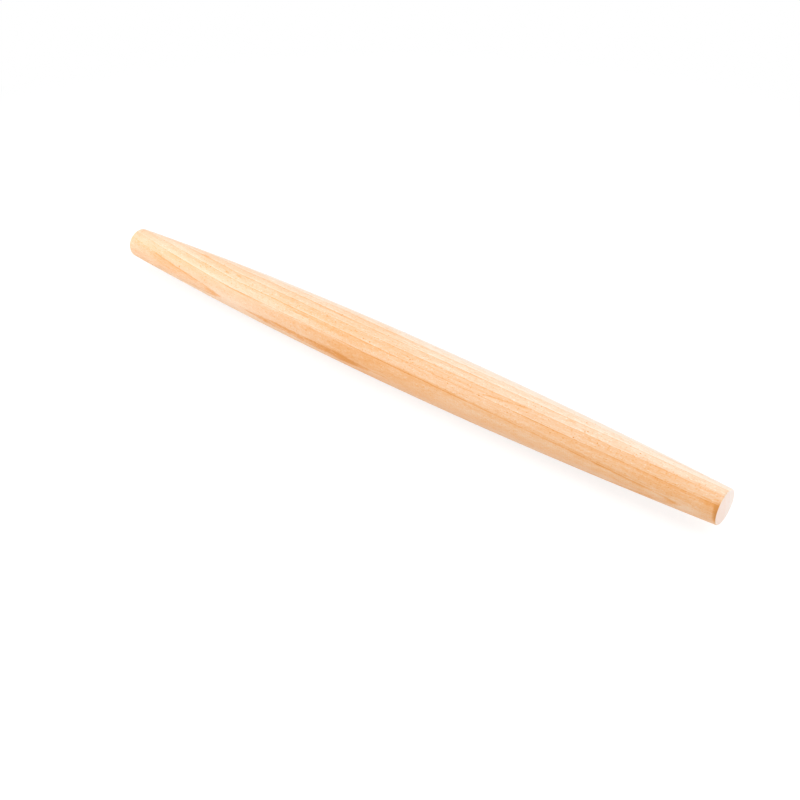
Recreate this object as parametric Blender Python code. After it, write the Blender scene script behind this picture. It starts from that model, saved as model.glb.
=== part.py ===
"""A tapered rolling pin, turned in one piece from a straight length of beech.

The pin lies along X with its middle at the origin and +Z up. Its flank is a single long
arc, thickest at the middle and slimmest at the ends, so that it pivots and rocks under
the palms. There are no handles, shaft or bearings: the hands hold the slim ends, and the
whole pin turns. Both ends are sawn square, and their rims are sanded round.
"""

import math

import bmesh
import bpy

# Driving dimensions, in metres.
LENGTH = 0.508
MIDDLE_DIAMETER = 0.037
END_DIAMETER = 0.0226
RIM_RADIUS = 0.0009

# How finely the turned surface is divided. An odd number of flank segments puts a level one
# at the middle, where the pin rests.
SIDES = 64
FLANK_SEGMENTS = 49
RIM_SEGMENTS = 4

# The wood's finish: pale steamed beech, sanded and left with a dry satin surface.
BEECH_COLOR = (0.76, 0.53, 0.32, 1.0)
BEECH_ROUGHNESS = 0.55
BEECH_METALLIC = 0.0


def clear_scene():
    """Remove every object that the scene starts with."""
    for obj in list(bpy.data.objects):
        bpy.data.objects.remove(obj, do_unlink=True)


def beech_material():
    """The pin's own material."""
    material = bpy.data.materials.new("beech")
    material.use_nodes = True
    shader = material.node_tree.nodes["Principled BSDF"]
    shader.inputs["Base Color"].default_value = BEECH_COLOR
    shader.inputs["Roughness"].default_value = BEECH_ROUGHNESS
    shader.inputs["Metallic"].default_value = BEECH_METALLIC
    material.diffuse_color = BEECH_COLOR
    return material


def arc_points(centre, radius, first_angle, last_angle, segments):
    """Points along an arc in the plane of the profile, as (distance along X, distance from the axis).

    Angles are measured from the profile's radial direction towards +X.
    """
    points = []
    for step in range(segments + 1):
        angle = first_angle + (last_angle - first_angle) * step / segments
        along = centre[0] + radius * math.sin(angle)
        outward = centre[1] + radius * math.cos(angle)
        points.append((along, outward))
    return points


def pin_profile():
    """Half of the pin's outline, from the rim of the -X end to the rim of the +X end.

    The flank is the arc through the middle radius and the two end radii. Each rim is a small
    arc that meets the flank and the flat end without a corner.
    """
    half_length = LENGTH / 2
    middle_radius = MIDDLE_DIAMETER / 2
    fall = middle_radius - END_DIAMETER / 2

    # An arc that falls by this much over half the length has this radius.
    flank_radius = (half_length**2 + fall**2) / (2 * fall)
    flank_centre = (0.0, middle_radius - flank_radius)

    # The rim's centre lies one rim radius inside the flat end and inside the flank.
    rim_along = half_length - RIM_RADIUS
    inner_flank_radius = flank_radius - RIM_RADIUS
    rim_outward = flank_centre[1] + math.sqrt(inner_flank_radius**2 - rim_along**2)
    tangent_angle = math.asin(rim_along / inner_flank_radius)

    left_rim = arc_points((-rim_along, rim_outward), RIM_RADIUS, -math.pi / 2, -tangent_angle, RIM_SEGMENTS)
    flank = arc_points(flank_centre, flank_radius, -tangent_angle, tangent_angle, FLANK_SEGMENTS)
    right_rim = arc_points((rim_along, rim_outward), RIM_RADIUS, tangent_angle, math.pi / 2, RIM_SEGMENTS)
    return left_rim + flank[1:-1] + right_rim


def turned_mesh(name, profile):
    """A closed mesh: the profile turned about the X axis, with a flat disc at each end."""
    bm = bmesh.new()
    points = [bm.verts.new((along, 0.0, outward)) for along, outward in profile]
    edges = [bm.edges.new(pair) for pair in zip(points, points[1:])]
    bmesh.ops.spin(
        bm,
        geom=points + edges,
        cent=(0.0, 0.0, 0.0),
        axis=(1.0, 0.0, 0.0),
        angle=math.tau,
        steps=SIDES,
        use_merge=True,
    )
    for face in bm.faces:
        face.smooth = True
    open_edges = [edge for edge in bm.edges if edge.is_boundary]
    ends = bmesh.ops.holes_fill(bm, edges=open_edges, sides=SIDES)["faces"]
    for face in ends:
        face.smooth = False
    bmesh.ops.recalc_face_normals(bm, faces=bm.faces)
    mesh = bpy.data.meshes.new(name)
    bm.to_mesh(mesh)
    bm.free()
    return mesh


def build_pin():
    """The pin body, the rolling pin's only piece."""
    mesh = turned_mesh("pin_body", pin_profile())
    mesh.materials.append(beech_material())
    pin = bpy.data.objects.new("pin_body", mesh)
    bpy.context.scene.collection.objects.link(pin)
    return pin


clear_scene()
build_pin()
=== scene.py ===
"""A tapered beech rolling pin on a white studio floor.

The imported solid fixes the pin's size and place. The turned surface is worked out again here
on a fine grid. Its wood is a solid material: growth rings, rays and fibres are functions of
the place inside the plank that the pin was turned from, so the grain runs through the flank
and comes out on the sawn ends as it does on real wood.
"""

import logging
import math
from dataclasses import dataclass, replace
from enum import Enum
from typing import Any, Optional, Sequence, Union

import bpy
import numpy as np
from mathutils import Matrix, Vector


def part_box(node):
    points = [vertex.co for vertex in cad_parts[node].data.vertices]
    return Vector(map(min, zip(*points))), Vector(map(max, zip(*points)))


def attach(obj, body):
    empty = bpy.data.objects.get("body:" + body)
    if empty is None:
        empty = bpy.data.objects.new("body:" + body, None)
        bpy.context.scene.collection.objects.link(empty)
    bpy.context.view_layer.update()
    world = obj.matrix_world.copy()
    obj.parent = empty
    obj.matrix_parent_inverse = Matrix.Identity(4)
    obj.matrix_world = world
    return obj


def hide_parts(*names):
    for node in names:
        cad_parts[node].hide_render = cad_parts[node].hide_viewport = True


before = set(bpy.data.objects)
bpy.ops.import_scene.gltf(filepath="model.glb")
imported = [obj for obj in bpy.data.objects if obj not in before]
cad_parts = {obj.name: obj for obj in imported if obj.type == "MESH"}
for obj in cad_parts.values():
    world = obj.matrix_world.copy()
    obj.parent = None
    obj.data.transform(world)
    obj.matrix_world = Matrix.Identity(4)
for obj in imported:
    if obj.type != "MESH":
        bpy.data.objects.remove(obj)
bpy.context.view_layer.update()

PIN_NODE = "pin_body"
PIN_RIDES_ON = "root"
BEECH_SLOT = "beech"
BAKE_MAP = "OFBake"
MM_PER_METRE = 1000.0

log = logging.getLogger("rolling_pin")

Colour = tuple[float, float, float]
ColourWithAlpha = tuple[float, float, float, float]
Operand = Union["Signal", float, Sequence[float]]
Stops = Sequence[tuple[float, Sequence[float]]]


def opaque(colour: Colour) -> ColourWithAlpha:
    """A colour with its alpha of one."""
    return (*colour, 1.0)


def grey(level: float) -> ColourWithAlpha:
    """A grey of that level with its alpha of one."""
    return opaque((level,) * 3)


class Sum(Enum):
    """What two signals are combined into, by the maths node's own name."""

    ADD = "ADD"
    SUBTRACT = "SUBTRACT"
    MULTIPLY = "MULTIPLY"
    DIVIDE = "DIVIDE"
    LARGER = "MAXIMUM"
    ANGLE = "ARCTAN2"


class Work(Enum):
    """What one signal is turned into, by the maths node's own name."""

    ROOT = "SQRT"
    SIZE = "ABSOLUTE"
    EXPONENTIAL = "EXPONENT"


class Signal:
    """A socket's output that takes part in Python expressions."""

    def __init__(self, graph: "Graph", socket: bpy.types.NodeSocket) -> None:
        """Keep the socket, and the graph that gets the new nodes."""
        self.graph = graph
        self.socket = socket

    @property
    def is_number(self) -> bool:
        """Whether the socket holds one number, and not a vector or a colour."""
        return self.socket.type == "VALUE"

    def __add__(self, other: Operand) -> "Signal":
        """This plus other."""
        return self.graph.combine(Sum.ADD, self, other)

    def __radd__(self, other: Operand) -> "Signal":
        """Other plus this."""
        return self.graph.combine(Sum.ADD, other, self)

    def __sub__(self, other: Operand) -> "Signal":
        """This minus other."""
        return self.graph.combine(Sum.SUBTRACT, self, other)

    def __rsub__(self, other: Operand) -> "Signal":
        """Other minus this."""
        return self.graph.combine(Sum.SUBTRACT, other, self)

    def __mul__(self, other: Operand) -> "Signal":
        """This times other."""
        return self.graph.combine(Sum.MULTIPLY, self, other)

    def __rmul__(self, other: Operand) -> "Signal":
        """Other times this."""
        return self.graph.combine(Sum.MULTIPLY, other, self)

    def __truediv__(self, other: Operand) -> "Signal":
        """This over other."""
        return self.graph.combine(Sum.DIVIDE, self, other)

    def __rtruediv__(self, other: Operand) -> "Signal":
        """Other over this."""
        return self.graph.combine(Sum.DIVIDE, other, self)

    def __neg__(self) -> "Signal":
        """This with its sign turned."""
        return self.graph.combine(Sum.MULTIPLY, self, -1.0)


class Graph:
    """A material's or a world's node tree, built up through Python expressions."""

    def __init__(self, owner: Union[bpy.types.Material, bpy.types.World]) -> None:
        """Start with an empty tree.

        Args:
            owner: the material or world whose nodes are built.
        """
        owner.use_nodes = True
        self.tree = owner.node_tree
        self.tree.nodes.clear()

    def node(self, kind: str, settings: Optional[dict[str, Any]] = None, **sockets: Any) -> bpy.types.Node:
        """Add one node.

        Args:
            kind: the node's type, such as "ShaderNodeTexNoise".
            settings: the node's own properties, set before its sockets. "stops" gives a
                colour ramp's stops as pairs of a place and a colour.
            sockets: numbers, vectors or signals by socket name, with _ for a space. A name
                such as at_6 means the socket in that place.

        Returns:
            The new node.
        """
        made = self.tree.nodes.new(kind)
        for name, value in (settings or {}).items():
            if name == "stops":
                self._set_stops(made.color_ramp, value)
            else:
                setattr(made, name, value)
        for name, value in sockets.items():
            key = int(name[3:]) if name.startswith("at_") else name.replace("_", " ")
            if isinstance(value, Signal):
                self.tree.links.new(value.socket, made.inputs[key])
            else:
                made.inputs[key].default_value = value
        return made

    @staticmethod
    def _set_stops(ramp: bpy.types.ColorRamp, stops: Stops) -> None:
        """Give a ramp its stops, from left to right.

        Args:
            ramp: a new ramp.
            stops: pairs of a place from 0 to 1 and a colour with its alpha.
        """
        while len(ramp.elements) > 1:
            ramp.elements.remove(ramp.elements[-1])
        ramp.elements[0].position = stops[0][0]
        ramp.elements[0].color = stops[0][1]
        for place, colour in stops[1:]:
            ramp.elements.new(place).color = colour

    def signal(self, node: bpy.types.Node, output: Union[int, str] = 0) -> Signal:
        """One of a node's outputs as a signal."""
        return Signal(self, node.outputs[output])

    def combine(self, kind: Sum, first: Operand, second: Operand) -> Signal:
        """Add a Math node for two numbers, or a Vector Math node where a side is a vector.

        Args:
            kind: what the two sides become.
            first: the left side.
            second: the right side.

        Returns:
            The result.
        """
        sides = [first, second]
        if all(not isinstance(side, Signal) or side.is_number for side in sides):
            node_type = "ShaderNodeMath"
        else:
            node_type = "ShaderNodeVectorMath"
            sides = [(side,) * 3 if isinstance(side, float) else side for side in sides]
        return self.signal(self.node(node_type, {"operation": kind.value}, at_0=sides[0], at_1=sides[1]))

    def turn_into(self, kind: Work, value: Signal) -> Signal:
        """Add a Math node that works on one number."""
        return self.signal(self.node("ShaderNodeMath", {"operation": kind.value}, at_0=value))

    def bell(self, value: Signal) -> Signal:
        """A bell-shaped wave: 1 where the value is 0, and e to the power of -1 where it is 1."""
        return self.turn_into(Work.EXPONENTIAL, -(value * value))

    def ease(self, value: Signal, start: float, end: float) -> Signal:
        """A smooth step.

        Args:
            value: what the step follows.
            start: the value where the step is 0.
            end: the value where it is 1, which may be the smaller of the two.

        Returns:
            The step's height, from 0 to 1.
        """
        at_low, at_high = (0.0, 1.0) if start < end else (1.0, 0.0)
        made = self.node(
            "ShaderNodeMapRange",
            {"interpolation_type": "SMOOTHSTEP"},
            Value=value,
            From_Min=min(start, end),
            From_Max=max(start, end),
            To_Min=at_low,
            To_Max=at_high,
        )
        return self.signal(made)

    def vector(self, x: Operand, y: Operand, z: Operand) -> Signal:
        """Three numbers as one vector."""
        return self.signal(self.node("ShaderNodeCombineXYZ", X=x, Y=y, Z=z))

    def axes(self, vector: Signal) -> tuple[Signal, Signal, Signal]:
        """A vector's three numbers."""
        split = self.node("ShaderNodeSeparateXYZ", at_0=vector)
        return self.signal(split, 0), self.signal(split, 1), self.signal(split, 2)

    def noise(self, place: Signal, detail: float = 0.0) -> Signal:
        """Smooth noise from about -0.5 to 0.5, with lumps of about one unit of the place."""
        made = self.node("ShaderNodeTexNoise", Vector=place, Scale=1.0, Detail=detail)
        return self.signal(made, "Fac") - 0.5

    def ramp(self, value: Signal, stops: Stops) -> Signal:
        """A colour for each value from 0 to 1, by stops."""
        return self.signal(self.node("ShaderNodeValToRGB", {"stops": stops}, Fac=value))

    def mix(self, share: Operand, first: Operand, second: Operand) -> Signal:
        """Two colours mixed.

        Args:
            share: how much of the second colour shows.
            first: the colour where the share is 0.
            second: the colour where the share is 1.

        Returns:
            The mixed colour.
        """
        made = self.node("ShaderNodeMix", {"data_type": "RGBA"}, at_0=share, at_6=first, at_7=second)
        return self.signal(made, 2)

    def finish(self, shader: bpy.types.Node, output: str = "ShaderNodeOutputMaterial") -> None:
        """Send a shader to the tree's output."""
        self.node(output, at_0=self.signal(shader))


@dataclass(frozen=True)
class Step:
    """A smooth step from 0 at `start` to `height` at `end`, which may be the smaller one."""

    start: float
    end: float
    height: float = 1.0

    def signal(self, graph: Graph, value: Signal) -> Signal:
        """The step's height at each value."""
        return graph.ease(value, self.start, self.end) * self.height


@dataclass(frozen=True)
class Wave:
    """A bell-shaped rise along the pin. Centre and reach are in millimetres."""

    centre: float
    reach: float
    height: float

    def signal(self, graph: Graph, along: Signal) -> Signal:
        """The wave's height at each place along the pin."""
        return graph.bell((along - self.centre) / self.reach) * self.height


@dataclass(frozen=True)
class Pith:
    """The tree's centre line, which lies beside the pin. Lengths are in millimetres.

    The line is at `distance` from the pin's axis, in the direction that `turn` gives from
    straight up towards -Y. It wanders away from the pin and sideways as sums of powers of the
    share of the half length, and each wave adds a bell-shaped bend. The innermost rings grew
    off centre: `lean` shifts them sideways, more the nearer they lie to the pith.
    """

    turn: float = math.radians(101.2)
    distance: float = 43.4
    away_powers: tuple[float, ...] = (0.3, -3.2, 5.8, -4.3)
    side_powers: tuple[float, ...] = (6.1, -4.1)
    bends: tuple[Wave, ...] = (
        Wave(-136.0, 20.0, 0.5),
        Wave(-72.0, 18.0, 0.13),
        Wave(-58.5, 49.0, -0.57),
        Wave(-25.0, 12.0, -0.08),
    )
    lean: Step = Step(27.0, 24.6, 3.0)

    @property
    def out(self) -> tuple[float, float]:
        """The direction from the pin to the pith, as its Y and Z."""
        return -math.sin(self.turn), math.cos(self.turn)

    @property
    def side(self) -> tuple[float, float]:
        """The direction square to `out`, as its Y and Z."""
        return -math.cos(self.turn), -math.sin(self.turn)

    @staticmethod
    def _sum_of_powers(share: Signal, factors: tuple[float, ...]) -> Signal:
        """The first factor times the share, plus the second times its square, and so on.

        Args:
            share: the share of the half length.
            factors: one factor for each power, from the first.

        Returns:
            The sum.
        """
        total = share * factors[-1]
        for factor in reversed(factors[:-1]):
            total = (total + factor) * share
        return total

    def coordinates(self, graph: Graph, place: Signal, half_length: float) -> tuple[Signal, Signal, Signal]:
        """A place in the wood's own directions.

        Args:
            graph: the material's graph.
            place: the place in the pin, in millimetres.
            half_length: half of the pin's length, in millimetres.

        Returns:
            The place along the grain, across it (the angle about the pith times the pith's
            distance) and the radius from the pith, in millimetres.
        """
        along, y, z = graph.axes(place)
        share = along / half_length
        away = self._sum_of_powers(share, self.away_powers) + self.distance
        for bend in self.bends:
            away = away + bend.signal(graph, along)
        aside = self._sum_of_powers(share, self.side_powers)
        towards_pin = away - (y * self.out[0] + z * self.out[1])
        lean = self.lean.signal(graph, towards_pin)
        sideways = (y * self.side[0] + z * self.side[1]) - aside - lean
        radius = graph.turn_into(Work.ROOT, towards_pin * towards_pin + sideways * sideways)
        across = graph.combine(Sum.ANGLE, sideways, towards_pin) * self.distance
        return along, across, radius


@dataclass(frozen=True)
class Spot:
    """A place on the pin, as signals. Lengths are in millimetres.

    Along, across and radius are the wood's own directions: with the grain, across it and out
    from the pith. Turn is the angle round the pin's axis in radians, from straight up towards
    -Y. The nearer sawn end is `rims_from_end` rim radii away.
    """

    along: Signal
    across: Signal
    radius: Signal
    turn: Signal
    from_near_end: Signal
    rims_from_end: Signal

    def in_lumps(self, graph: Graph, length: float, width: float, depth: float) -> Signal:
        """The place in the wood's directions, counted in lumps of that size in millimetres."""
        return graph.vector(self.along / length, self.across / width, self.radius / depth)


@dataclass(frozen=True)
class Ring:
    """One year's growth: its outer radius in millimetres, and its tones from early to late wood."""

    radius: float
    early: float
    middle: float
    late: float


@dataclass(frozen=True)
class Cloud:
    """A soft lump of darker or paler wood. Lengths are in millimetres."""

    centre: float
    reach: float
    radius: float
    depth: float
    tone: float

    def signal(self, graph: Graph, spot: Spot) -> Signal:
        """The tone that the cloud adds: a bell along the pin times a bell across the rings."""
        lengthwise = graph.bell((spot.along - self.centre) / self.reach)
        return lengthwise * graph.bell((spot.radius - self.radius) / self.depth) * self.tone


@dataclass(frozen=True)
class Streak:
    """A soft line of darker or paler wood that runs with the grain. Lengths are in millimetres.

    It lies at one depth in the wood, or drifts from its first radius to its last, and fades
    in and out over `fade` at its ends.
    """

    start: float
    end: float
    first_radius: float
    last_radius: float
    width: float
    tone: float
    fade: float = 12.0

    def signal(self, graph: Graph, spot: Spot) -> Signal:
        """The tone that the streak adds: a bell across its line, eased in and out along it.

        Args:
            graph: the material's graph.
            spot: the place on the pin.

        Returns:
            The tone.
        """
        slope = (self.last_radius - self.first_radius) / (self.end - self.start)
        line = (spot.along - self.start) * slope + self.first_radius
        crosswise = graph.bell((spot.radius - line) / self.width)
        begins = graph.ease(spot.along, self.start - self.fade, self.start + self.fade)
        ends = graph.ease(spot.along, self.end + self.fade, self.end - self.fade)
        return crosswise * begins * ends * self.tone


@dataclass(frozen=True)
class Grain:
    """Smooth noise from about -0.5 to 0.5 times the strength, in the wood's own directions.

    Its lumps are about one length long with the grain, one width wide across it and one
    depth deep through the rings, in millimetres.
    """

    length: float
    width: float
    depth: float
    strength: float = 1.0
    detail: float = 0.0

    def signal(self, graph: Graph, spot: Spot) -> Signal:
        """The noise at each place."""
        place = spot.in_lumps(graph, self.length, self.width, self.depth)
        return graph.noise(place, self.detail) * self.strength


@dataclass(frozen=True)
class Rays:
    """Rays: thin plates that run out from the pith, some darker and some paler than the wood
    round them. They show as short flecks where the surface lies along the rings, and as small
    plates where it cuts across them. Lengths are in millimetres.

    Each ray has a chance from 0 to 1. Its tone is the chance less `plain_chance`, and the few
    whose chance is near 1 are darker still. `body` gives its strength by the distance from
    its middle, counted in lumps.
    """

    length: float = 1.5
    width: float = 0.45
    depth: float = 1.3
    body: Step = Step(0.5, 0.2)
    plain_chance: float = 0.45
    dark_few: Step = Step(0.985, 0.99, 0.9)

    def signal(self, graph: Graph, spot: Spot) -> Signal:
        """The rays' tone, which is 0 between them.

        Args:
            graph: the material's graph.
            spot: the place on the pin.

        Returns:
            The tone.
        """
        place = spot.in_lumps(graph, self.length, self.width, self.depth)
        cells = graph.node("ShaderNodeTexVoronoi", Vector=place, Scale=1.0)
        chance, _, _ = graph.axes(graph.signal(cells, "Color"))
        tone = chance + self.dark_few.signal(graph, chance) - self.plain_chance
        return self.body.signal(graph, graph.signal(cells, "Distance")) * tone


@dataclass(frozen=True)
class DarkenedNearEnd:
    """The near end, darker brown in a crescent beside its rim and a little darker further along.

    The dark crescent lies on the -Y side. It reaches furthest from the sawn end near the
    top, and its reach falls by `reach_fall` for each radian towards the underside, where it
    thins out. The darkening goes further and is even. Lengths are in millimetres, that of
    `crescent_edge` from the reach. `rim_edge` is in rim radii, and angles are in radians.
    """

    reach_at_top: float = 4.6
    reach_fall: float = 1.6
    crescent_edge: Step = Step(1.0, -1.6)
    crescent_start: Step = Step(math.radians(36.0), math.radians(66.0))
    darkening_edge: Step = Step(14.0, 6.0)
    darkening_start: Step = Step(math.radians(28.0), math.radians(50.0))
    lower_end: Step = Step(math.radians(126.0), math.radians(96.0))
    rim_edge: Step = Step(0.1, 0.4)

    def signals(self, graph: Graph, spot: Spot) -> tuple[Signal, Signal]:
        """Where the end has its dark crescent and where it is darkened.

        Args:
            graph: the material's graph.
            spot: the place on the pin.

        Returns:
            The crescent's share and the darkening's, from 0 to 1.
        """
        past_reach = spot.from_near_end - (spot.turn * -self.reach_fall + self.reach_at_top)
        crescent = self.crescent_edge.signal(graph, past_reach)
        crescent = crescent * self.crescent_start.signal(graph, spot.turn)
        darkening = self.darkening_edge.signal(graph, spot.from_near_end)
        darkening = darkening * self.darkening_start.signal(graph, spot.turn)
        shown = self.rim_edge.signal(graph, spot.rims_from_end)
        shown = shown * self.lower_end.signal(graph, spot.turn)
        return crescent * shown, darkening * shown


@dataclass(frozen=True)
class Beech:
    """Steamed beech, turned, sanded and left dry. Lengths are in millimetres.

    Tones run from 0, the palest early wood, to 1, the usual late wood, and on to the darkest
    streaks. A colour's share says how much of it covers what lies under it.
    """

    pith: Pith = Pith()
    rings: tuple[Ring, ...] = (
        Ring(20.4, 0.5, 0.6, 1.0),
        Ring(24.8, 0.5, 0.62, 1.0),
        Ring(30.0, 0.48, 0.55, 1.1),
        Ring(36.1, 0.36, 0.48, 0.95),
        Ring(42.0, 0.30, 0.42, 0.75),
        Ring(47.0, 0.20, 0.32, 0.65),
        Ring(51.3, 0.08, 0.20, 0.45),
        Ring(58.4, 0.00, 0.04, 0.25),
        Ring(64.0, 0.12, 0.32, 0.70),
    )
    ring_edge: float = 0.15
    early_width: float = 1.5
    late_width: float = 0.55
    late_onset_share: float = 0.2
    ring_wander: tuple[Grain, ...] = (Grain(70.0, 10.0, 10.0, 0.5), Grain(16.0, 2.5, 7.0, 0.3))

    # Patches deepen or weaken the rings. Gaps raise or lower their contrast about the plain
    # tone, and calm wood at the far end lowers it.
    patches: Grain = Grain(60.0, 12.0, 4.0, 0.7)
    gaps: Grain = Grain(13.0, 4.0, 2.0, 1.1)
    far_calm: Step = Step(-185.0, -235.0, 0.55)
    plain_tone: float = 0.35

    # Bands and lines follow the rings. They are strong in the outer wood and weak in the inner
    # wood, where the surface lies along the rings. In the innermost wood they are a little
    # stronger again, and the hairs much stronger. Towards the far end both weaken.
    bands: Grain = Grain(48.0, 7.0, 1.4, 0.35, detail=1.0)
    lines: Grain = Grain(11.0, 1.8, 0.55, 0.42, detail=1.0)
    line_wander: Grain = Grain(7.0, 2.0, 3.0, 0.8)
    least_lines: float = 0.35
    outer_lines: Step = Step(25.0, 33.0, 0.65)
    hairs: Grain = Grain(3.0, 0.55, 0.45, detail=1.0)
    hair_tone: float = 0.55
    innermost: Step = Step(25.3, 24.6)
    innermost_lines: float = 0.3
    innermost_hairs: float = 2.2
    far_evenness: Step = Step(-70.0, -130.0, -0.35)
    rays: Rays = Rays()
    ray_tone: float = 0.7

    # Soft marks, each in its own place. A cloud's numbers are its centre, reach, radius, depth
    # and tone. A streak's are its start, end, first radius, last radius, width and tone.
    clouds: tuple[Cloud, ...] = (
        Cloud(-220.0, 38.0, 38.0, 8.0, -0.2),
        Cloud(-232.0, 22.0, 23.0, 3.0, 0.09),
        Cloud(-188.0, 22.0, 24.8, 1.8, -0.14),
        Cloud(-168.0, 18.0, 36.0, 1.0, -0.12),
        Cloud(-187.0, 10.0, 27.3, 1.2, -0.13),
        Cloud(-184.0, 10.0, 47.0, 2.0, -0.18),
        Cloud(-130.0, 42.0, 27.3, 5.5, -0.28),
        Cloud(-148.0, 12.0, 29.7, 1.3, 0.13),
        Cloud(-135.0, 14.0, 48.6, 1.2, 0.14),
        Cloud(-62.0, 28.0, 24.5, 0.8, -0.12),
        Cloud(-10.0, 60.0, 50.5, 4.5, 0.14),
        Cloud(-15.0, 32.0, 42.0, 16.0, 0.1),
        Cloud(-9.0, 18.0, 27.4, 2.6, 0.16),
        Cloud(28.0, 38.0, 25.0, 2.2, 0.22),
        Cloud(-11.0, 14.0, 28.4, 0.7, 0.12),
        Cloud(-12.0, 6.0, 24.6, 0.25, 0.32),
        Cloud(-28.0, 20.0, 33.0, 0.9, 0.12),
        Cloud(16.0, 12.0, 28.9, 0.8, 0.12),
        Cloud(-126.0, 12.0, 42.0, 0.7, 0.13),
        Cloud(-98.0, 14.0, 39.2, 0.9, -0.12),
        Cloud(190.0, 60.0, 27.7, 1.3, -0.12),
        Cloud(212.0, 22.0, 29.2, 1.2, -0.22),
        Cloud(215.0, 14.0, 30.6, 0.7, 0.2),
        Cloud(140.0, 20.0, 39.9, 1.3, -0.11),
        Cloud(178.0, 18.0, 36.6, 1.3, 0.15),
        Cloud(205.0, 50.0, 39.3, 2.4, 0.12),
        Cloud(230.0, 65.0, 32.5, 4.5, 0.2),
        Cloud(249.0, 7.0, 35.6, 1.3, -0.05),
        Cloud(225.0, 60.0, 51.0, 6.0, -0.2),
        Cloud(-165.0, 50.0, 54.5, 2.5, 0.2),
        Cloud(0.0, 150.0, 58.8, 1.8, 0.15),
        Cloud(215.0, 45.0, 56.5, 2.2, 0.2),
    )
    streaks: tuple[Streak, ...] = (
        Streak(-178.0, -170.0, 42.6, 42.6, 0.8, 0.35, fade=3.0),
        Streak(-163.0, -148.0, 24.4, 24.4, 0.6, 0.25, fade=5.0),
        Streak(-147.0, -143.0, 38.4, 38.4, 0.8, 0.45, fade=2.0),
        Streak(-135.0, -131.0, 40.0, 40.0, 0.7, 0.45, fade=2.0),
        Streak(-105.0, -25.0, 29.75, 29.75, 0.5, -0.38, fade=15.0),
        Streak(-75.0, 5.0, 34.2, 34.5, 0.7, 0.22),
        Streak(-80.0, -20.0, 27.4, 27.4, 1.2, 0.08),
        Streak(-60.0, -12.0, 24.3, 24.3, 0.35, 0.25, fade=15.0),
        Streak(-58.0, -22.0, 46.4, 46.2, 0.5, 0.22, fade=6.0),
        Streak(-30.0, 15.0, 35.8, 35.8, 0.9, 0.14, fade=8.0),
        Streak(-48.0, -18.0, 25.15, 25.15, 0.35, 0.25, fade=8.0),
        Streak(-38.0, 2.0, 33.4, 33.6, 0.5, 0.2, fade=6.0),
        Streak(-26.0, -10.0, 24.6, 24.65, 0.3, 0.22, fade=4.0),
        Streak(1.0, 12.0, 24.5, 24.5, 0.5, -0.4, fade=4.0),
        Streak(10.0, 60.0, 37.3, 37.3, 0.6, 0.14),
        Streak(8.0, 110.0, 41.6, 42.0, 0.5, 0.12),
        Streak(18.0, 42.0, 48.0, 48.0, 0.5, 0.12, fade=8.0),
        Streak(5.0, 205.0, 30.3, 30.5, 0.5, 0.36),
        Streak(20.0, 90.0, 36.7, 36.6, 0.5, 0.2),
        Streak(50.0, 120.0, 38.95, 38.95, 0.7, 0.1),
        Streak(92.0, 124.0, 37.7, 41.5, 0.45, 0.35, fade=4.0),
        Streak(95.0, 140.0, 31.4, 31.4, 0.6, 0.18),
        Streak(140.0, 250.0, 35.4, 35.4, 0.7, 0.12),
        Streak(150.0, 155.0, 45.9, 45.7, 0.7, 0.35, fade=2.0),
        Streak(205.0, 252.0, 36.5, 36.7, 0.5, 0.24, fade=15.0),
        Streak(205.0, 252.0, 42.3, 42.5, 0.5, 0.2, fade=15.0),
        Streak(213.0, 240.0, 29.75, 29.75, 0.5, -0.38, fade=8.0),
        Streak(216.0, 252.0, 34.3, 34.3, 1.2, 0.1),
    )

    # Each tone's colour, before the light.
    tone_colours: tuple[tuple[float, Colour], ...] = (
        (0.0, (0.92, 0.775, 0.625)),
        (0.25, (0.92, 0.655, 0.45)),
        (0.5, (0.895, 0.555, 0.32)),
        (0.75, (0.875, 0.47, 0.21)),
        (1.0, (0.845, 0.38, 0.11)),
        (1.25, (0.77, 0.30, 0.045)),
    )

    # The near end's dark brown crescent and darkening.
    darkened_near_end: DarkenedNearEnd = DarkenedNearEnd()
    crescent_brown: Colour = (0.55, 0.22, 0.06)
    crescent_brown_share: float = 0.45
    crescent_tone: float = 0.5
    darkening_tone: float = 0.16

    # The painted sheen: a paler strip high on the back, where light from behind grazes the pin, its angles
    # in radians from straight up towards -Y.
    painted_sheen: Colour = (0.99, 0.86, 0.765)
    painted_sheen_share: float = 0.9
    painted_sheen_turn: float = math.radians(-33.0)
    painted_sheen_reach: float = math.radians(10.0)

    # The sawn ends, and the painted highlight on the rounded rims round them, whose edges are in rim radii.
    painted_rim_highlight: Colour = (0.99, 0.87, 0.73)
    rim_highlight_share: float = 0.85
    rim_highlight_edge: Step = Step(0.4, 0.1)
    sawn: Colour = (0.995, 0.912, 0.898)
    sawn_share: float = 0.65
    sawn_edge: Step = Step(0.2, 0.02)

    # Gloss and relief.
    satin_roughness: float = 0.45
    sawn_roughness: float = 0.75
    hair_roughness: float = 0.1
    ray_roughness: float = -0.05
    pore_depth: float = 0.1
    relief: float = 0.7
    line_relief: float = 0.5
    ray_relief: float = -0.4

    def _ring_stops(self) -> list[tuple[float, ColourWithAlpha]]:
        """Tones along the radius. Outwards, a ring starts at its early tone, passes its middle
        tone, darkens through its late wood and ends at an abrupt edge.

        Returns:
            Pairs of a share of the way from the first ring's edge to the last, and a grey.
        """
        first, last = self.rings[0].radius, self.rings[-1].radius
        stops = []
        for before, ring in zip(self.rings, self.rings[1:]):
            late_onset = ring.middle + (ring.late - ring.middle) * self.late_onset_share
            tones = (
                (before.radius + self.ring_edge, ring.early),
                (before.radius + self.early_width, ring.middle),
                (ring.radius - self.late_width, late_onset),
                (ring.radius, ring.late),
            )
            stops += [((radius - first) / (last - first), grey(tone)) for radius, tone in tones]
        return stops

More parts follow.
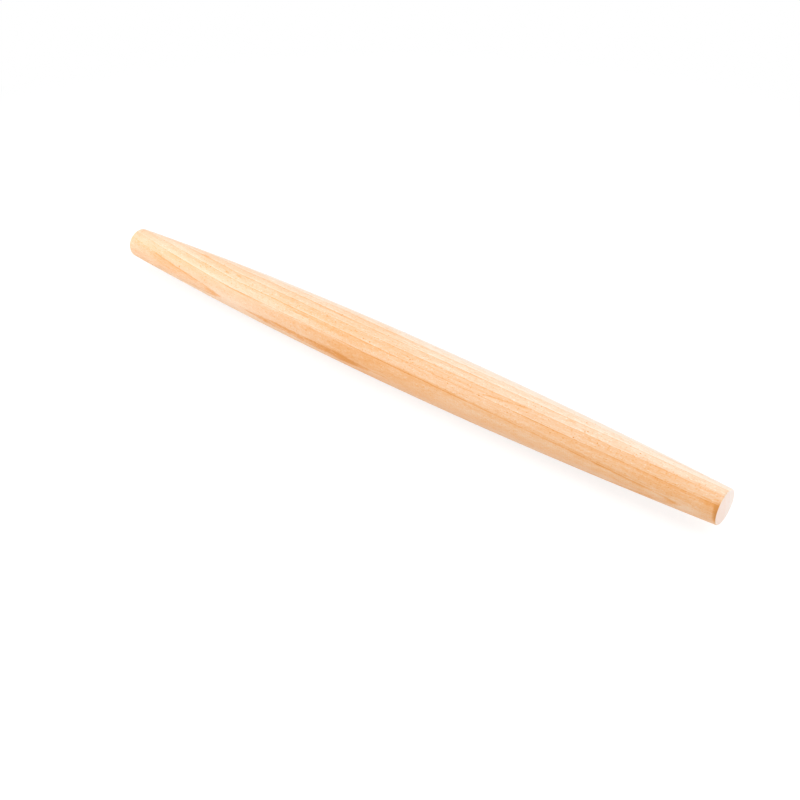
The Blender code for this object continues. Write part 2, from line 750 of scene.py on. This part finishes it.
    def _spot(self, graph: Graph, half_length: float, rim_radius: float) -> Spot:
        """The place that is being shaded.

        Args:
            graph: the material's graph.
            half_length: half of the pin's length.
            rim_radius: the radius of the rims' rounding.

        Returns:
            The place on the pin.
        """
        place = graph.signal(graph.node("ShaderNodeTexCoord"), "Object") * MM_PER_METRE
        _, y, z = graph.axes(place)
        along, across, radius = self.pith.coordinates(graph, place, half_length)
        return Spot(
            along=along,
            across=across,
            radius=radius,
            turn=graph.combine(Sum.ANGLE, -y, z),
            from_near_end=half_length - along,
            rims_from_end=(half_length - graph.turn_into(Work.SIZE, along)) / rim_radius,
        )

    def _ring_tone(self, graph: Graph, spot: Spot) -> Signal:
        """The tone of the growth rings, whose edges wander a little along the grain, with
        their patches and gaps.

        Args:
            graph: the material's graph.
            spot: the place on the pin.

        Returns:
            The tone.
        """
        wandering = spot.radius
        for wander in self.ring_wander:
            wandering = wandering + wander.signal(graph, spot)
        first, last = self.rings[0].radius, self.rings[-1].radius
        tone, _, _ = graph.axes(graph.ramp((wandering - first) / (last - first), self._ring_stops()))
        contrast = self.gaps.signal(graph, spot) - self.far_calm.signal(graph, spot.along)
        return tone * (self.patches.signal(graph, spot) + 1.0) + (tone - self.plain_tone) * contrast

    def _fibres(self, graph: Graph, spot: Spot) -> tuple[Signal, Signal]:
        """Bands and lines that follow the rings, and the hair-fine vessels and fibres.

        Args:
            graph: the material's graph.
            spot: the place on the pin.

        Returns:
            The tone of the bands and lines together, and the hairs, which lie about 0.
        """
        waved = replace(spot, radius=spot.radius + self.line_wander.signal(graph, spot))
        lines = self.bands.signal(graph, spot) + self.lines.signal(graph, waved)
        innermost = self.innermost.signal(graph, spot.radius)
        outer = self.outer_lines.signal(graph, spot.radius)
        cut_across = outer + innermost * self.innermost_lines + self.least_lines
        coarse = innermost * self.innermost_hairs + 1.0
        even = self.far_evenness.signal(graph, spot.along) + 1.0
        return lines * cut_across * even, self.hairs.signal(graph, spot) * coarse * even

    def _colour(self, graph: Graph, spot: Spot, tone: Signal, crescent: Signal, sawn: Signal) -> Signal:
        """The wood's colour: that of its tone, and over it the painted sheen strip high on the back,
        the dark brown crescent, the painted highlight on the rims and the sawn ends.

        Args:
            graph: the material's graph.
            spot: the place on the pin.
            tone: the wood's tone.
            crescent: the dark crescent's share.
            sawn: 1 on the sawn ends, and 0 on the flank and rims.

        Returns:
            The colour.
        """
        flank = 1.0 - sawn
        # Painted sheen: a paler strip high on the back, standing in for light from behind that grazes the
        # pin.
        sheen_strip = graph.bell((spot.turn - self.painted_sheen_turn) / self.painted_sheen_reach) * flank
        # Painted highlight: the rounded rims made paler, standing in for the light that they catch.
        rim_highlight = self.rim_highlight_edge.signal(graph, spot.rims_from_end) * flank
        darkest, _ = self.tone_colours[-1]
        stops = [(step / darkest, opaque(shade)) for step, shade in self.tone_colours]
        colour = graph.ramp(tone / darkest, stops)
        for share, shade in (
            (sheen_strip * self.painted_sheen_share, self.painted_sheen),
            (crescent * self.crescent_brown_share, self.crescent_brown),
            (rim_highlight * self.rim_highlight_share, self.painted_rim_highlight),
            (sawn * self.sawn_share, self.sawn),
        ):
            colour = graph.mix(share, colour, opaque(shade))
        return colour

    def material(self, half_length: float, rim_radius: float) -> bpy.types.Material:
        """Make the wood.

        Args:
            half_length: half of the pin's length.
            rim_radius: the radius of the rims' rounding.

        Returns:
            The material.
        """
        material = bpy.data.materials.new(BEECH_SLOT)
        graph = Graph(material)
        spot = self._spot(graph, half_length, rim_radius)

        lines, hairs = self._fibres(graph, spot)
        rays = self.rays.signal(graph, spot)
        tone = self._ring_tone(graph, spot) + lines + hairs * self.hair_tone + rays * self.ray_tone
        for mark in self.clouds + self.streaks:
            tone = tone + mark.signal(graph, spot)
        crescent, darkening = self.darkened_near_end.signals(graph, spot)
        tone = tone + crescent * self.crescent_tone + darkening * self.darkening_tone

        sawn = self.sawn_edge.signal(graph, spot.rims_from_end)
        matt = sawn * (self.sawn_roughness - self.satin_roughness) + self.satin_roughness
        bump = graph.node(
            "ShaderNodeBump",
            Strength=self.relief,
            Distance=self.pore_depth / MM_PER_METRE,
            Height=hairs + lines * self.line_relief + rays * self.ray_relief,
        )
        shader = graph.node(
            "ShaderNodeBsdfPrincipled",
            Base_Color=self._colour(graph, spot, tone, crescent, sawn),
            Roughness=matt + hairs * self.hair_roughness + rays * self.ray_roughness,
            Normal=graph.signal(bump),
        )
        graph.finish(shader)
        return material


@dataclass
class PinBody:
    """The pin itself: a flank on one long arc, with a small rim arc at each sawn end.

    Lengths are in metres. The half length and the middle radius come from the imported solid.
    Rows run along the outline and columns round the axis. In the pin's own map, a square with
    sides of 1, a disc's middle lies `disc_map_inset` disc radii from the side.
    """

    half_length: float
    middle_radius: float
    end_radius: float = 0.0113
    rim_radius: float = 0.0009
    columns: int = 192
    flank_rows: int = 280
    rim_rows: int = 10
    disc_rows: int = 8
    disc_map_radius: float = 0.058
    disc_map_inset: float = 1.2
    flank_map_height: float = 0.87

    def outline(self) -> tuple[np.ndarray, np.ndarray, np.ndarray]:
        """The pin's outline from the middle of the -X disc to the middle of the +X disc.

        The flank is the arc through the middle radius and the end radii: with a fall f over
        the half length h its radius is (h squared plus f squared) over 2f. A rim's centre
        lies one rim radius inside the flat end and inside the flank, so that its arc meets
        both without a corner. A disc is a straight run from the axis to its rim.

        Returns:
            The places along X, the distances from the axis, and which of the points belong
            to the flank and the rims rather than to a disc.
        """
        fall = self.middle_radius - self.end_radius
        flank_radius = (self.half_length**2 + fall**2) / (2 * fall)
        flank_centre = self.middle_radius - flank_radius
        rim_along = self.half_length - self.rim_radius
        inner_radius = flank_radius - self.rim_radius
        rim_outward = flank_centre + math.sqrt(inner_radius**2 - rim_along**2)
        meeting_angle = math.asin(rim_along / inner_radius)

        disc = np.linspace(0.0, rim_outward, self.disc_rows + 1)
        rim_angles = np.linspace(math.pi / 2, meeting_angle, self.rim_rows + 1)
        flank_angles = np.linspace(-meeting_angle, meeting_angle, self.flank_rows + 1)
        rim_x = rim_along + self.rim_radius * np.sin(rim_angles)
        rim_r = rim_outward + self.rim_radius * np.cos(rim_angles)
        flank_x = flank_radius * np.sin(flank_angles)
        flank_r = flank_centre + flank_radius * np.cos(flank_angles)

        far_disc = np.full(self.disc_rows, -self.half_length)
        along = np.concatenate([far_disc, -rim_x, flank_x[1:-1], rim_x[::-1], -far_disc])
        outward = np.concatenate([disc[:-1], rim_r, flank_r[1:-1], rim_r[::-1], disc[-2::-1]])
        turned = np.zeros(len(along), bool)
        turned[self.disc_rows:-self.disc_rows] = True
        return along, outward, turned

    def angles(self) -> np.ndarray:
        """The columns' angles from straight up towards -Y, once round from the underside."""
        return np.linspace(-math.pi, math.pi, self.columns + 1)

    def surface(self, along: np.ndarray, outward: np.ndarray) -> np.ndarray:
        """The outline carried round the X axis: y = -r sin a and z = r cos a, where the
        angle a starts at the pin's underside, so that the map's seam is out of sight.

        Args:
            along: the outline's places along X, without the two poles.
            outward: its distances from the axis.

        Returns:
            An array of rows by columns by 3.
        """
        angle = self.angles()[:-1]
        x = np.outer(along, np.ones_like(angle))
        y = -np.outer(outward, np.sin(angle))
        z = np.outer(outward, np.cos(angle))
        return np.stack([x, y, z], axis=-1)

    def map_places(self, along: np.ndarray, outward: np.ndarray, turned: np.ndarray) -> np.ndarray:
        """Where each grid point lies in the pin's own map.

        The flank and rims fill a rectangle, its width the length of the outline and its
        height the angle. Each disc keeps its shape, in the strip above the rectangle.

        Args:
            along: the outline's places along X.
            outward: its distances from the axis.
            turned: which points belong to the flank and the rims.

        Returns:
            Map places, as rows by columns plus one by 2, for the rectangle and for the discs:
            at a disc's rim a face takes its corner from the disc's part, and elsewhere from
            the rectangle's.
        """
        angle = self.angles()
        steps = np.hypot(np.diff(along), np.diff(outward))
        length = np.concatenate([[0.0], np.cumsum(steps)])
        first, last = np.flatnonzero(turned)[[0, -1]]
        share = (length - length[first]) / (length[last] - length[first])
        height = self.flank_map_height * (angle + math.pi) / (2 * math.pi)
        rectangle = np.stack(np.broadcast_arrays(share[:, None], height[None, :]), axis=-1)

        middle_v = (1.0 + self.flank_map_height) / 2
        inset = self.disc_map_radius * self.disc_map_inset
        middle_u = np.where(along < 0, inset, 1.0 - inset)
        scale = self.disc_map_radius / outward[first] * outward
        disc_u = middle_u[:, None] + scale[:, None] * np.sin(angle)
        disc_v = middle_v + scale[:, None] * np.cos(angle)
        return np.stack([rectangle, np.stack([disc_u, disc_v], axis=-1)])

    def mesh(self) -> bpy.types.Mesh:
        """The closed mesh: a grid of quads, and a fan of triangles at each pole.

        Returns:
            The mesh, smooth, with its faces outward and its own map.
        """
        along, outward, turned = self.outline()
        rings = self.surface(along[1:-1], outward[1:-1])
        row_count, column_count = rings.shape[:2]
        poles = np.array([[-self.half_length, 0.0, 0.0], [self.half_length, 0.0, 0.0]])
        points = np.concatenate([rings.reshape(-1, 3), poles])
        far_pole, near_pole = len(points) - 2, len(points) - 1

        number = np.arange(row_count * column_count).reshape(row_count, column_count)
        number = np.hstack([number, number[:, :1]])
        quads = np.stack([number[:-1, :-1], number[1:, :-1], number[1:, 1:], number[:-1, 1:]], axis=-1)
        far_fan = np.stack([np.full(column_count, far_pole), number[0, :-1], number[0, 1:]], axis=-1)
        near_fan = np.stack([np.full(column_count, near_pole), number[-1, 1:], number[-1, :-1]], axis=-1)

        places = self.map_places(along, outward, turned)
        part = (~(turned[:-1] & turned[1:])).astype(int)[1:-1]
        per_row = places[part, np.arange(1, row_count)]
        next_row = places[part, np.arange(2, row_count + 1)]
        quad_map = np.stack([per_row[:, :-1], next_row[:, :-1], next_row[:, 1:], per_row[:, 1:]], axis=2)
        discs = places[1]
        far_map = np.stack([discs[0, :-1], discs[1, :-1], discs[1, 1:]], axis=1)
        near_map = np.stack([discs[-1, :-1], discs[-2, 1:], discs[-2, :-1]], axis=1)

        mesh = bpy.data.meshes.new(PIN_NODE)
        faces = quads.reshape(-1, 4).tolist() + far_fan.tolist() + near_fan.tolist()
        mesh.from_pydata(points.tolist(), [], faces)
        mesh.polygons.foreach_set("use_smooth", np.ones(len(faces), bool))
        layer = mesh.uv_layers.new(name=BAKE_MAP)
        parts = (quad_map, far_map, near_map)
        corners = np.concatenate([part_map.reshape(-1, 2) for part_map in parts])
        layer.data.foreach_set("uv", corners.astype(np.float32).ravel())
        mesh.update()
        return mesh

    def build(self, finish: Beech) -> bpy.types.Object:
        """Make the pin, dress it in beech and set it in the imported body's place.

        Args:
            finish: the wood.

        Returns:
            The pin's object.
        """
        mesh = self.mesh()
        wood = finish.material(self.half_length * MM_PER_METRE, self.rim_radius * MM_PER_METRE)
        mesh.materials.append(wood)
        pin = bpy.data.objects.new("turned_pin", mesh)
        bpy.context.scene.collection.objects.link(pin)
        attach(pin, PIN_RIDES_ON)
        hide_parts(PIN_NODE)
        return pin


def direction(azimuth: float, elevation: float) -> Vector:
    """The unit vector towards a place round the pin. Azimuth 0 is at -Y, and 90 at +X."""
    turn, rise = math.radians(azimuth), math.radians(elevation)
    return Vector((math.sin(turn) * math.cos(rise), -math.cos(turn) * math.cos(rise), math.sin(rise)))


@dataclass(frozen=True)
class Viewpoint:
    """The camera, as it stood for the photograph. Lengths are in metres, angles in degrees,
    and the lens and sensor in millimetres.

    The camera looks straight back along the line that azimuth and elevation give, past a
    point that lies beside the pin's middle by `right` and `up`, in the picture's directions.
    """

    azimuth: float = 39.6
    elevation: float = 35.2
    distance: float = 0.7808
    right: float = 0.01129
    up: float = -0.03242
    lens: float = 51.457
    sensor: float = 36.0
    nearest: float = 0.01

    def build(self) -> bpy.types.Object:
        """Make the camera and give it to the scene.

        Returns:
            The camera.
        """
        back = direction(self.azimuth, self.elevation)
        right = direction(self.azimuth + 90.0, 0.0)
        up = back.cross(right)
        data = bpy.data.cameras.new("camera")
        data.lens = self.lens
        data.sensor_width = self.sensor
        data.clip_start = self.nearest
        camera = bpy.data.objects.new("camera", data)
        place = back * self.distance + right * self.right + up * self.up
        camera.matrix_world = Matrix.Translation(place) @ Matrix((right, up, back)).transposed().to_4x4()
        bpy.context.scene.collection.objects.link(camera)
        bpy.context.scene.camera = camera
        return camera


@dataclass(frozen=True)
class SoftBox:
    """A square area lamp that looks at the pin's middle. Lengths are in metres, the power in
    watts, angles in degrees."""

    name: str
    azimuth: float
    elevation: float
    distance: float
    width: float
    power: float

    def build(self) -> bpy.types.Object:
        """Make the lamp.

        Returns:
            The lamp.
        """
        data = bpy.data.lights.new(self.name, "AREA")
        data.shape = "SQUARE"
        data.size = self.width
        data.energy = self.power
        lamp = bpy.data.objects.new(self.name, data)
        towards = direction(self.azimuth, self.elevation)
        lamp.location = towards * self.distance
        lamp.rotation_euler = towards.to_track_quat("Z", "Y").to_euler()
        bpy.context.scene.collection.objects.link(lamp)
        return lamp


@dataclass(frozen=True)
class Studio:
    """A white floor under the pin, soft lamps and an even white surrounding. Lengths are in
    metres."""

    floor_top: float
    floor_reach: float = 6.0
    floor_level: float = 0.86
    seen_share: float = 0.3
    seen_lift: float = 0.785
    plain_beyond: Step = Step(0.4, 0.7)
    surround: float = 0.3
    lamps: tuple[SoftBox, ...] = (
        SoftBox("top_softbox", azimuth=40.0, elevation=89.0, distance=1.5, width=1.2, power=6.1),
        SoftBox("back_softbox", azimuth=200.0, elevation=40.0, distance=1.5, width=1.2, power=4.8),
        SoftBox("right_softbox", azimuth=100.0, elevation=32.0, distance=1.3, width=0.9, power=6.6),
        SoftBox("left_softbox", azimuth=-60.0, elevation=30.0, distance=1.0, width=0.7, power=4.4),
        SoftBox("front_softbox", azimuth=-10.0, elevation=20.0, distance=1.3, width=0.9, power=4.1),
    )

    @staticmethod
    def _seen_directly(graph: Graph) -> Signal:
        """Which rays show the surrounding itself, in the picture or in a reflection.

        Args:
            graph: the material's or world's graph.

        Returns:
            1 for those rays, and 0 for the others.
        """
        path = graph.node("ShaderNodeLightPath")
        seen = graph.signal(path, "Is Camera Ray")
        for kind in ("Is Glossy Ray", "Is Transmission Ray"):
            seen = graph.combine(Sum.LARGER, seen, graph.signal(path, kind))
        return seen

    def floor_material(self) -> bpy.types.Material:
        """A matt white floor. Where it is seen itself, part of its shading gives way to an
        even white, so that the open floor is white and the shadow stays, softer. Away from
        the pin it is plain white, and so it has no edge against the surrounding.

        Returns:
            The material.
        """
        material = bpy.data.materials.new("studio_floor")
        graph = Graph(material)
        lit = graph.node("ShaderNodeBsdfDiffuse", Color=grey(self.floor_level))
        shaded = graph.node("ShaderNodeBsdfDiffuse", Color=grey(self.seen_share))
        even = graph.node("ShaderNodeEmission", Color=grey(1.0), Strength=self.seen_lift)
        near = graph.node("ShaderNodeAddShader", at_0=graph.signal(shaded), at_1=graph.signal(even))
        plain = graph.node("ShaderNodeEmission", Color=grey(1.0), Strength=1.0)
        place = graph.signal(graph.node("ShaderNodeTexCoord"), "Object")
        from_middle = graph.node("ShaderNodeVectorMath", {"operation": "LENGTH"}, at_0=place)
        away = self.plain_beyond.signal(graph, graph.signal(from_middle, "Value"))
        seen = graph.node(
            "ShaderNodeMixShader",
            at_0=away,
            at_1=graph.signal(near),
            at_2=graph.signal(plain),
        )
        either = graph.node(
            "ShaderNodeMixShader",
            at_0=self._seen_directly(graph),
            at_1=graph.signal(lit),
            at_2=graph.signal(seen),
        )
        graph.finish(either)
        return material

    def floor(self) -> bpy.types.Object:
        """The floor: a square whose corners are the reach times plus or minus one.

        Returns:
            The floor.
        """
        reach = self.floor_reach
        corners = [(-reach, -reach), (reach, -reach), (reach, reach), (-reach, reach)]
        mesh = bpy.data.meshes.new("studio_floor")
        mesh.from_pydata([(x, y, self.floor_top) for x, y in corners], [], [(0, 1, 2, 3)])
        mesh.materials.append(self.floor_material())
        floor = bpy.data.objects.new("studio_floor", mesh)
        bpy.context.scene.collection.objects.link(floor)
        return floor

    def world(self) -> bpy.types.World:
        """Even light from all round, which is white where it is seen itself.

        Returns:
            The world.
        """
        world = bpy.data.worlds.new("studio")
        graph = Graph(world)
        strength = self._seen_directly(graph) * (1.0 - self.surround) + self.surround
        background = graph.node("ShaderNodeBackground", Color=grey(1.0), Strength=strength)
        graph.finish(background, "ShaderNodeOutputWorld")
        bpy.context.scene.world = world
        return world

    def build(self) -> None:
        """Make the floor, the surrounding and the lamps."""
        self.floor()
        self.world()
        for lamp in self.lamps:
            lamp.build()


def main() -> None:
    """Build the camera, the pin and the studio, and log the pin's face count."""
    logging.basicConfig(level=logging.INFO, format="%(name)s: %(message)s")
    bpy.context.scene.view_settings.view_transform = "Standard"
    Viewpoint().build()
    low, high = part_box(PIN_NODE)
    body = PinBody(half_length=high.x, middle_radius=min(high.y, high.z))
    pin = body.build(Beech())
    log.info("%s: %d faces", pin.name, len(pin.data.polygons))
    Studio(floor_top=low.z).build()


if __name__ == "__main__":
    main()
